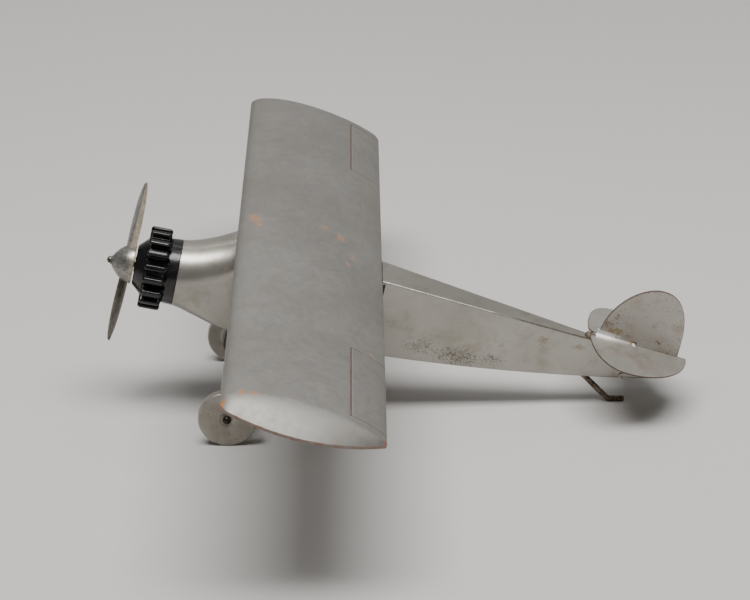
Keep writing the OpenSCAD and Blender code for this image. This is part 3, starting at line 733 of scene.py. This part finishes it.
def engine_ridge(turn):
    """One tall ridge with rounded ends and crest, and a shallow groove round it."""
    length, width = HEAD_TO - HEAD_FROM, RIDGE_WIDTH
    levels = [(RIDGE_FOOT, length, width)]
    for radius, depth in zip(LINE_RADII, (0, 1, 1, 0)):
        levels.append((radius, length - depth * LINE_OFF_LENGTH, width - depth * LINE_OFF_WIDTH))
    shoulder = ENGINE_R - CREST_ROUND
    for k in range(CREST_STEPS + 1):
        a = math.pi / 2 * k / CREST_STEPS
        drawn_in = 1 - math.cos(a)
        last = CREST_LAST if k == CREST_STEPS else 0
        levels.append((shoulder + CREST_ROUND * math.sin(a), length - CREST_OFF_LENGTH * drawn_in,
                       width - CREST_OFF_WIDTH * drawn_in - last))
    return stacked("ridge", levels, turn)


def engine():
    """Crankcase and nine cylinders, each a saddle with two ridges, as one casting."""
    parts = [turned("crankcase", rounded_profile(CRANKCASE, 0.5))]
    for index in range(CYLINDERS):
        turn = ENGINE_PHASE + 360 * index / CYLINDERS
        parts.append(stacked("saddle", SADDLE, turn))
        parts += [engine_ridge(turn + RIDGE_TURN), engine_ridge(turn - RIDGE_TURN)]
    obj = joined("engine", parts)
    return finish_piece(obj, "airframe", engine_black(), "radial_engine")


# ------------ propeller

CRANK_R, SPINNER_LEN, PROP_R, BLADE_ROOT = 7.8, 9.1, 34.7, 5.0
BLADE_CENTRE, BLADE_LEAN = 2.5, math.radians(2.6)
BLADE_WIDTH, BLADE_THICK, BLADE_THINNING = 9, 2.1, 1.3
PITCH_AT_ROOT, PITCH_LOSS, BLADE_STEPS = 27, 6, 22
PIN_BORE, BORE_DEPTH = 1.25, 0.6
SPINNER_TURNS, SPINNER_STEPS = 80, 22
# Across and through the blade, in half widths and thicknesses
BLADE_SECTION = [(-1, 0), (-0.6, -0.3), (0, -0.42), (0.6, -0.3), (1, 0), (0.55, 0.38), (0.1, 0.62),
                 (-0.45, 0.4)]


def spinner_radius(u):
    return CRANK_R * max(1 - (u / (SPINNER_LEN + 0.3)) ** 2, 0) ** 0.8


def blade(turn):
    """Blade of eight-sided section with its ridge ahead of the middle, cream aft, and on the lower blade a
    brown painted shade over its forward part.
    """
    rings, cream, tarnish_and_painted_shade = [], [], []
    for i in range(BLADE_STEPS + 1):
        f = i / BLADE_STEPS
        outline = math.sqrt(max(1 - f ** 5, 0)) * (0.86 + 0.14 * math.sin(math.pi * f))
        half_width = (BLADE_WIDTH * outline + 0.4) / 2
        thick = BLADE_THICK - BLADE_THINNING * f
        pitch = math.radians(PITCH_AT_ROOT - PITCH_LOSS * f)
        ring = []
        for across, through in BLADE_SECTION:
            p, q = across * half_width, through * thick
            ahead = q * math.cos(pitch) - p * math.sin(pitch) + BLADE_CENTRE
            side = p * math.cos(pitch) + q * math.sin(pitch)
            up = BLADE_ROOT + f * (PROP_R - BLADE_ROOT)
            if turn:
                side, up = -side, -up
            lean_ahead = ahead * math.cos(BLADE_LEAN) - up * math.sin(BLADE_LEAN)
            lean_up = ahead * math.sin(BLADE_LEAN) + up * math.cos(BLADE_LEAN)
            ring.append((-lean_ahead, side, lean_up))
            aft_half = across < -0.5 if turn else across > 0.3
            cream.append(0.85 if aft_half and through >= 0 else 0.25)
            # brown over the lower blade's forward part is painted shade, for the face turned away from the
            # light
            tarnish_and_painted_shade.append(0.75 if turn and not aft_half else 0.1)
        rings.append(ring)
    obj = loft("blade_lower" if turn else "blade_upper", aloft(rings), smooth_angle=60)
    mark(obj, "cream", cream)
    mark(obj, "tarnish_and_painted_shade", tarnish_and_painted_shade)
    return obj


def spinner():
    """Hollow-nosed dome, creamier at its base, with the bore that the pin comes out of."""
    profile = [(0, 0.0), (0, CRANK_R - 0.3), (-0.12, CRANK_R - 0.08), (-0.4, CRANK_R)]
    for k in range(1, SPINNER_STEPS + 1):
        ahead = SPINNER_LEN * (k / SPINNER_STEPS) ** 0.85
        if ahead < SPINNER_LEN - 0.01:
            profile.append((-ahead, spinner_radius(ahead)))
    bore_end = -SPINNER_LEN + BORE_DEPTH
    profile += [(-SPINNER_LEN, 1.75), (-SPINNER_LEN, PIN_BORE), (bore_end, PIN_BORE), (bore_end, 0.0)]
    dome = turned("spinner", profile, SPINNER_TURNS)
    ahead = -np.array([station for station, _ in profile])
    mark(dome, "cream", np.repeat(0.5 * (1 - smoothstep(ahead, 0.8, 3.4)), SPINNER_TURNS))
    mark(dome, "tarnish_and_painted_shade", np.full(SPINNER_TURNS * len(profile), 0.36))
    return dome


def propeller():
    obj = joined("propeller_casting", [spinner(), blade(0), blade(180)])
    return finish_piece(obj, "propeller", propeller_paint(), "propeller")


# ------------ wheels and axle

WHEEL_R, WHEEL_W, BOSS_H = 11.3, 4.2, 0.8
AXLE_R, HEAD_R, RUNNING = 1.2, 1.75, 0.04
BORE = AXLE_R + RUNNING
TOOL_STEP = 0.16
# Depth inboard of the outer face, and radius
WHEEL_OUTLINE = [(0.25, BORE), (0.25, 2.4), (0.0, 3.0), (0.0, WHEEL_R - 0.4), (0.4, WHEEL_R),
                 (WHEEL_W - 0.4, WHEEL_R), (WHEEL_W, WHEEL_R - 0.4), (WHEEL_W, 6.3),
                 (WHEEL_W + 0.3, 5.3), (WHEEL_W + BOSS_H, 5.2), (WHEEL_W + BOSS_H, BORE)]


def lathe_across(profile, centre, steps=128):
    """Rings about a line across the airframe, from (side, radius) pairs in mm."""
    return [[(centre[0] + radius * MM * c, centre[1] + side * MM, centre[2] + radius * MM * s)
             for c, s in circle(steps)] for side, radius in profile]


def wheel(name, side):
    """Turned disc: fine tool rings on its faces, a softened rim and a stepped boss inboard."""
    low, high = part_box("wheel_" + name)
    face = (high.y if side > 0 else low.y) / MM
    axis = ((low.x + high.x) / 2, 0.0, (low.z + high.z) / 2)
    outline = rounded_profile(WHEEL_OUTLINE, 0.22, 3)
    fine = []
    for (d0, r0), (d1, r1) in zip(outline, outline[1:]):
        count = max(1, int(abs(r1 - r0) / TOOL_STEP))
        fine += [(d0 + (d1 - d0) * k / count, r0 + (r1 - r0) * k / count) for k in range(count)]
    fine.append(outline[-1])
    rings = lathe_across([(face - side * depth, radius) for depth, radius in fine], axis)
    steps, last = len(rings[0]), (len(rings) - 1) * len(rings[0])
    faces = strips(len(rings), steps, closed=True)
    for k in range(steps):
        after = (k + 1) % steps
        faces.append((last + k, last + after, after, k))
    obj = make_object("wheel_disc_" + name, rings, faces, 35)
    fix_normals(obj)
    radii = np.array([radius for _, radius in fine])
    turning = 0.5 + 0.5 * np.sin(radii * 9.0) * np.sin(radii * 3.7 + 1)
    mark(obj, "turning", np.repeat(turning, steps))
    return obj


def axle_piece():
    """Wire with a domed head at each end."""
    low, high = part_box("axle")
    middle = (low + high) / 2
    half = (high.y - low.y) / 2 / MM - HEAD_R
    dome = [(HEAD_R * math.sin(a), HEAD_R * math.cos(a)) for a in np.linspace(0.12, math.pi / 2 - 0.02, 9)]
    profile = [(-half - s, r) for s, r in reversed(dome)] + [(-half, HEAD_R * 0.97), (-half, AXLE_R)]
    profile += [(half, AXLE_R), (half, HEAD_R * 0.97)] + [(half + s, r) for s, r in dome]
    return loft("axle_wire", lathe_across(profile, middle, 40), smooth_angle=40)


# ------------ tail

TAIL_SHEET, BEND_R, TAIL_HALF, TAIL_CHORD, FRONT_MAX = 0.5, 1.3, 29.3, 40.6, 14.0
TAIL_FRONT = (181.6, 7.6)
SLIT_FROM, SLIT_TO = 199.4, 201.2
FIN_MID, FIN_TOP, FIN_FRONT, FIN_REAR = (205.0, 9.0), 22.1, 19.4, 13.5
LEAF = 0.02  # the gap from the middle to each leaf of the fin
FAR_SHORTER = 3.2  # the photo shows the far half tailplane's rear edge this much further forward
PLANE_HUB, FIN_HUB = (19.0, 12.5), (204.0, 17.0)
FOLD_FROM, FOLD_RINGS, FOLD_ARC = 2.6, 24, 8


def on_tailplane(points):
    """Points given as (aft of the tailplane's front, side, height above it) in mm, on the thrust line."""
    p = np.asarray(points, float)
    c, s = math.cos(TAIL_SET), math.sin(TAIL_SET)
    station = TAIL_FRONT[0] + p[..., 0] * c + p[..., 2] * s
    height = TAIL_FRONT[1] - p[..., 0] * s + p[..., 2] * c
    return np.stack([station, p[..., 1], height], -1)


def quarter(a, b, fullness, steps=22):
    """Quarter of a rounded outline, from the tip of the first half axis to the tip of the second."""
    turns = [math.pi / 2 * k / steps for k in range(steps + 1)]
    return [(a * math.cos(t) ** (2 / fullness), b * math.sin(t) ** (2 / fullness)) for t in turns]


def plate(name, outline, hub, thickness, to_world):
    """A sheet with an outline in its own plane, built in shrinking rings so that marks can fade inwards."""
    outline = np.array(outline, float)
    hub = np.array(hub, float)
    shrink = [1.0, 0.985, 0.955, 0.9, 0.8, 0.66, 0.5, 0.33, 0.16]
    count, n = len(outline), len(shrink)
    layers = [np.column_stack([hub + (outline - hub) * k, np.full(count, level)])
              for level in (0.0, thickness) for k in shrink]
    points = np.concatenate(layers + [np.array([[*hub, 0.0], [*hub, thickness]])])
    faces = []
    for layer in range(2):
        start = layer * n * count
        faces += strips(n, count, closed=True, offset=start)
        last, centre = start + (n - 1) * count, 2 * n * count + layer
        faces += [(last + k, last + (k + 1) % count, centre) for k in range(count)]
    faces += [(k, (k + 1) % count, n * count + (k + 1) % count, n * count + k) for k in range(count)]
    obj = make_object(name, to_world(points), faces, 35)
    fix_normals(obj)
    rim = np.append(np.tile(np.repeat(shrink, count), 2), (0, 0))
    return obj, rim, points


def tail_outline(chord):
    """Half tailplane from above: front edge, tip, rear edge, then its root with the fold's cut-out."""
    front = [(FRONT_MAX - a, b) for a, b in quarter(FRONT_MAX, TAIL_HALF, 2.5)]
    rear = [(FRONT_MAX + a, b) for a, b in reversed(quarter(chord - FRONT_MAX, TAIL_HALF, 1.8))]
    inner = BEND_R + LEAF + TAIL_SHEET
    bend = SLIT_FROM - TAIL_FRONT[0]
    slit = SLIT_TO - TAIL_FRONT[0]
    outer = [p for p in front + rear[1:] if p[1] > inner + 0.3]
    root = [(chord - 0.05, LEAF)] + [(x, LEAF) for x in np.linspace(chord - 2, slit + 0.3, 12)]
    root += [(slit, LEAF), (slit, inner + 0.25), (bend, inner + 0.25), (bend, inner)]
    root += [(x, inner) for x in np.linspace(bend - 1, 1.2, 12)]
    return outer + root


def fin_outline():
    """One leaf of the fin from the side, its foot clear of the fold and then on the tailplane."""
    top_front = [(FIN_MID[0] - a, FIN_MID[1] + b) for a, b in quarter(FIN_FRONT, FIN_TOP, 1.75)]
    top_rear = [(FIN_MID[0] + a, FIN_MID[1] + b) for a, b in reversed(quarter(FIN_REAR, FIN_TOP, 2.5))]
    slope = math.tan(TAIL_SET)

    def above(station, height):
        return TAIL_FRONT[1] - (station - TAIL_FRONT[0]) * slope + height

    rise = BEND_R + TAIL_SHEET
    keep = [(s, h) for s, h in top_front + top_rear[1:] if h > above(s, rise) + 0.4]
    last = FIN_MID[0] + FIN_REAR
    low = [(last, above(last, TAIL_SHEET))]
    low += [(s, above(s, TAIL_SHEET)) for s in np.linspace(last - 1.5, SLIT_TO + 0.2, 8)]
    low += [(SLIT_TO, above(SLIT_TO, TAIL_SHEET)), (SLIT_TO, above(SLIT_TO, rise))]
    low += [(s, above(s, rise)) for s in np.linspace(SLIT_TO - 0.6, keep[0][0] + 0.6, 12)]
    return keep + low


def fold(side):
    """Quarter-round fold from the tailplane up into the fin, tighter towards its rear end."""
    start, end = FOLD_FROM, SLIT_FROM - TAIL_FRONT[0]
    arc = [math.radians(180 + 90 * k / FOLD_ARC) for k in range(FOLD_ARC + 1)]
    rings = []
    for x in np.linspace(start, end, FOLD_RINGS):
        easy = BEND_R * (1.15 + 0.65 * (1 - ((x - start) / (end - start)) ** 2))
        middle = side * (LEAF + TAIL_SHEET + easy), easy + TAIL_SHEET
        ring = []
        for radius, turns in ((easy, arc), (easy + TAIL_SHEET, arc[::-1])):
            for a in turns:
                ring.append((x, middle[0] + side * radius * math.cos(a),
                             middle[1] + radius * math.sin(a)))
        rings.append(ring)
    return loft("fold", aloft(on_tailplane(rings)), smooth_angle=40)


# Marks on the fin: station, height, radius, strength; and on the tailplane: aft, side, radius, strength
FIN_STAINS = [(190, 10.5, 3.5, 0.55), (193, 11, 3.0, 0.6), (186.5, 8.8, 2.5, 0.5), (197, 9.6, 2.0, 0.45)]
FIN_PITS = [(210, 9.7, 1.1, 1.0), (214.5, 5.8, 0.9, 0.7), (191, 17, 4.0, 0.5), (188, 13, 4.0, 0.55),
            (215.5, 17, 4.5, 0.5), (206, 16, 5.0, 0.42), (212.5, 23, 4.0, 0.4), (196, 25, 4, 0.4),
            (217, 12, 3.0, 0.45)]
PLANE_STAINS = [(10.5, 12.5, 1.5, 0.75), (13, 15, 1.3, 0.6), (3, 2, 2.0, 0.5)]
PLANE_PITS = [(24, 14.5, 0.45, 0.8), (25.6, 15.6, 0.45, 0.8), (27.2, 16.7, 0.45, 0.8),
              (22, 6, 0.6, 0.7), (12, 22, 0.7, 0.6), (37.5, 7, 0.6, 0.6)]


def mark_plate(obj, rim, points, stains, pits):
    """A dark edge, stains and pits on a flat part of a stamping."""
    mark(obj, "edge", 0.9 * smoothstep(rim, 0.975, 0.998))
    mark(obj, "wear", np.zeros(len(rim)))
    for name, spots in (("stain", stains), ("pitting", pits)):
        round_spots = [(u, v, radius, radius, strength) for u, v, radius, strength in spots]
        mark(obj, name, patches(points[:, 0], points[:, 1], round_spots))


def mark_fold(obj):
    """The fold has a painted highlight in front, fading aft; its rear end is stained, and darkened there
    with painted shade.
    """
    count = len(obj.data.vertices)
    along = np.repeat(np.linspace(0, 1, FOLD_RINGS), count // FOLD_RINGS)
    # painted shade: the fold's last rings are darkened at the slit, hiding their reflection
    mark(obj, "edge", 0.95 * (along > 0.94))
    # painted highlight along the fold, bright in front and fading towards its rear end
    mark(obj, "wear", 0.75 * (1 - along ** 2))
    mark(obj, "stain", 0.6 * smoothstep(along, 0.75, 1))
    mark(obj, "pitting", np.zeros(count))


def tail_stamping(name, side):
    """Half tailplane, fold and one leaf of the fin."""
    def plane_place(p):
        return aloft(on_tailplane(np.column_stack([p[:, 0], side * p[:, 1], p[:, 2]])))

    def fin_place(p):
        return aloft(np.column_stack([p[:, 0], side * (LEAF + p[:, 2]), p[:, 1]]))

    chord = TAIL_CHORD if side > 0 else TAIL_CHORD - FAR_SHORTER
    plane, plane_rim, plane_points = plate("plane", tail_outline(chord), PLANE_HUB, TAIL_SHEET, plane_place)
    fin, fin_rim, fin_points = plate("fin", fin_outline(), FIN_HUB, TAIL_SHEET, fin_place)
    bend = fold(side)
    mark_plate(plane, plane_rim, plane_points, PLANE_STAINS, PLANE_PITS)
    mark_plate(fin, fin_rim, fin_points, FIN_STAINS, FIN_PITS)
    mark_fold(bend)
    obj = joined(name, [plane, fin, bend])
    bevel(obj, 0.12, 2, 50)
    return obj


WIRE_R, SKID_SLOPE, KNEE_R, FOOT = 1.15, math.radians(46.7), 3.0, 6.6
FOOT_END = (0.4, 0.68, 0.9)  # the wire's narrowing at the end of its foot


def skid():
    """Bent wire: a sloping rod, a round knee and a foot on the ground."""
    low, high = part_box("skid_wire")
    slope, tangent = SKID_SLOPE, KNEE_R * math.tan(SKID_SLOPE / 2)
    knee_x = low.x / MM + FOOT
    rod = (high.z / MM - WIRE_R - WIRE_R * math.cos(slope)) / math.sin(slope)
    turns = list(np.linspace(0, slope, 9))
    # Distance aft of the knee, height and direction of the wire's middle
    path = [(x, 0, 0.0) for x in (-FOOT, -FOOT + 0.15, -FOOT + 0.5, -FOOT + 1.0)]
    path.append((-FOOT / 2, 0.02, 0.0))
    path += [(KNEE_R * math.sin(a) - tangent, KNEE_R * (1 - math.cos(a)), a) for a in turns]
    path += [(d * math.cos(slope), d * math.sin(slope), slope)
             for d in np.linspace(tangent + 1, rod - 0.2, 8)]
    rings = []
    for index, (x, z, a) in enumerate(path):
        width = WIRE_R * FOOT_END[index] if index < len(FOOT_END) else WIRE_R
        rings.append([((knee_x + x - width * c * math.sin(a)) * MM, width * s * MM,
                       (WIRE_R + z + width * c * math.cos(a)) * MM) for c, s in circle(20)])
    return loft("skid", rings, smooth_angle=50)


# ------------ light, floor and camera

def area_light(name, place, target, width, depth, power, colour):
    """A soft rectangular light at a place, turned towards a target."""
    light = bpy.data.lights.new(name, "AREA")
    light.shape = "RECTANGLE"
    light.size, light.size_y = width, depth
    light.energy = power
    light.color = colour
    obj = bpy.data.objects.new(name, light)
    bpy.context.scene.collection.objects.link(obj)
    obj.location = place
    obj.rotation_euler = (Vector(target) - Vector(place)).to_track_quat("-Z", "Y").to_euler()


WARM_WHITE, COOL_WHITE = (1.0, 0.985, 0.965), (1.0, 0.99, 0.98)
# Name, place, what it is aimed at, width, depth, power and colour
LIGHTS = [("key", (0.0, 0.25, 1.2), (0.0, 0.02, 0.03), 1.2, 0.44, 21.5, WARM_WHITE),
          ("overhead", (0.0, 0.2, 1.5), (0.0, 0.1, 0.0), 1.6, 1.3, 6.5, WARM_WHITE),
          ("backdrop_light", (0.0, -1.25, 1.9), (0.0, -1.9, 0.5), 2.6, 0.4, 11.5, COOL_WHITE)]
SWEEP_HALF, SWEEP_DEPTH, SWEEP_BEND = 3.0, 1.9, 0.7
DIM_SKY, DIM_STRENGTH = (0.62, 0.63, 0.65, 1), 0.12
PALE_SKY, PALE_STRENGTH = (0.62, 0.61, 0.6, 1), 0.75


def sweep():
    """A pale sheet of paper, level under the toy and curving up behind it."""
    start, bend = SWEEP_BEND - SWEEP_DEPTH, SWEEP_BEND
    profile = [(2.6, 0.0), (1.0, 0.0), (-0.4, 0.0), (start, 0.0)]
    profile += [(start - bend * math.sin(a), bend * (1 - math.cos(a)))
                for a in np.linspace(0.15, math.pi / 2, 10)]
    profile += [(-SWEEP_DEPTH, 1.6), (-SWEEP_DEPTH, 2.6)]
    points = [(x, y, z) for y, z in profile for x in (-SWEEP_HALF, SWEEP_HALF)]
    faces = [(2 * i, 2 * i + 1, 2 * i + 3, 2 * i + 2) for i in range(len(profile) - 1)]
    floor = make_object("floor", points, faces, 80)
    floor.data.materials.append(floor_paper())


def surroundings():
    """A world that the camera sees as pale and that lights the toy only a little."""
    world = bpy.data.worlds.new("studio")
    bpy.context.scene.world = world
    world.use_nodes = True
    tree = world.node_tree
    dim = tree.nodes["Background"]
    dim.inputs["Color"].default_value = DIM_SKY
    dim.inputs["Strength"].default_value = DIM_STRENGTH
    pale = tree.nodes.new("ShaderNodeBackground")
    pale.inputs["Color"].default_value = PALE_SKY
    pale.inputs["Strength"].default_value = PALE_STRENGTH
    choose = tree.nodes.new("ShaderNodeMixShader")
    path = tree.nodes.new("ShaderNodeLightPath")
    tree.links.new(path.outputs["Is Camera Ray"], choose.inputs["Fac"])
    tree.links.new(dim.outputs["Background"], choose.inputs[1])
    tree.links.new(pale.outputs["Background"], choose.inputs[2])
    tree.links.new(choose.outputs["Shader"], tree.nodes["World Output"].inputs["Surface"])


CAMERA_AT = (0.01827, 0.89556, 0.45433)
CAMERA_PITCH, CAMERA_YAW = math.radians(24.57), math.radians(-0.51)
SENSOR_MM, LENS_MM = 36.0, 120.0


def camera():
    """A long lens looking down from the port side, as in the photograph."""
    lens = bpy.data.cameras.new("camera")
    lens.sensor_width, lens.lens = SENSOR_MM, LENS_MM
    lens.clip_start, lens.clip_end = 0.05, 20.0
    obj = bpy.data.objects.new("camera", lens)
    bpy.context.scene.collection.objects.link(obj)
    pitch, yaw = CAMERA_PITCH, CAMERA_YAW
    look = Vector((math.sin(yaw) * math.cos(pitch), -math.cos(yaw) * math.cos(pitch), -math.sin(pitch)))
    right = Vector((-math.cos(yaw), -math.sin(yaw), 0))
    turn = Matrix((right, right.cross(look), -look)).transposed()
    obj.matrix_world = Matrix.Translation(CAMERA_AT) @ turn.to_4x4()
    bpy.context.scene.camera = obj


# ------------ the object

def carry_over(name, material):
    """A CAD node that stays as it is, with a better material."""
    node = frame["nodes"][name]
    node.data.materials.clear()
    node.data.materials.append(material)


camera()
sweep()
for light in LIGHTS:
    area_light(*light)
surroundings()
wing()
fuselage()
engine()
propeller()

axle_dark = dark_wire("axle_steel", (0.022, 0.018, 0.016), (0.12, 0.09, 0.065), 0.28)
skid_brown = dark_wire("skid_steel", (0.07, 0.048, 0.034), (0.38, 0.31, 0.24), 0.4)
wheel_finish = wheel_metal()
for name, side in (("port", 1), ("starboard", -1)):
    finish_piece(wheel(name, side), "wheel_" + name, wheel_finish, "wheel_" + name)
finish_piece(axle_piece(), "airframe", axle_dark, "axle")

tail_finish = tail_metal()
for name, side in (("port", 1), ("starboard", -1)):
    finish_piece(tail_stamping("stabiliser_" + name, side), "airframe", tail_finish,
                 "tail_" + name)
finish_piece(skid(), "airframe", skid_brown, "skid_wire")

for node in ("front_bridge", "rear_bridge", "wing_rivets", "gear_rivets", "pin_nut"):
    carry_over(node, silver("plain_" + node, (0.45, 0.43, 0.4), (0.33, 0.31, 0.28),
                            rough=0.5, metallic=0.8))
carry_over("belly_plate", silver("belly_metal", (0.5, 0.48, 0.45), (0.38, 0.37, 0.34),
                                 pits=0.05, warmth=0.6))
carry_over("wing_floor", silver("wing_floor_metal", (0.4, 0.37, 0.33), (0.28, 0.25, 0.21),
                                rough=0.55, warmth=0.8, pits=0.06))
carry_over("gear_strap", dark_wire("gear_steel", (0.14, 0.125, 0.11), (0.33, 0.3, 0.26), 0.42))
carry_over("prop_pin", dark_wire("pin_steel", (0.05, 0.045, 0.042), (0.2, 0.17, 0.14), 0.35))
carry_over("prop_washer", dark_wire("washer_brass", (0.25, 0.17, 0.07), (0.55, 0.42, 0.2), 0.35))
carry_over("nose_block", turned_wood())
carry_over("tail_solder", dark_wire("solder", (0.15, 0.125, 0.09), (0.27, 0.245, 0.2), 0.5))
carry_over("tail_eyelet", dark_wire("eyelet_metal", (0.25, 0.22, 0.17), (0.66, 0.62, 0.54), 0.35))
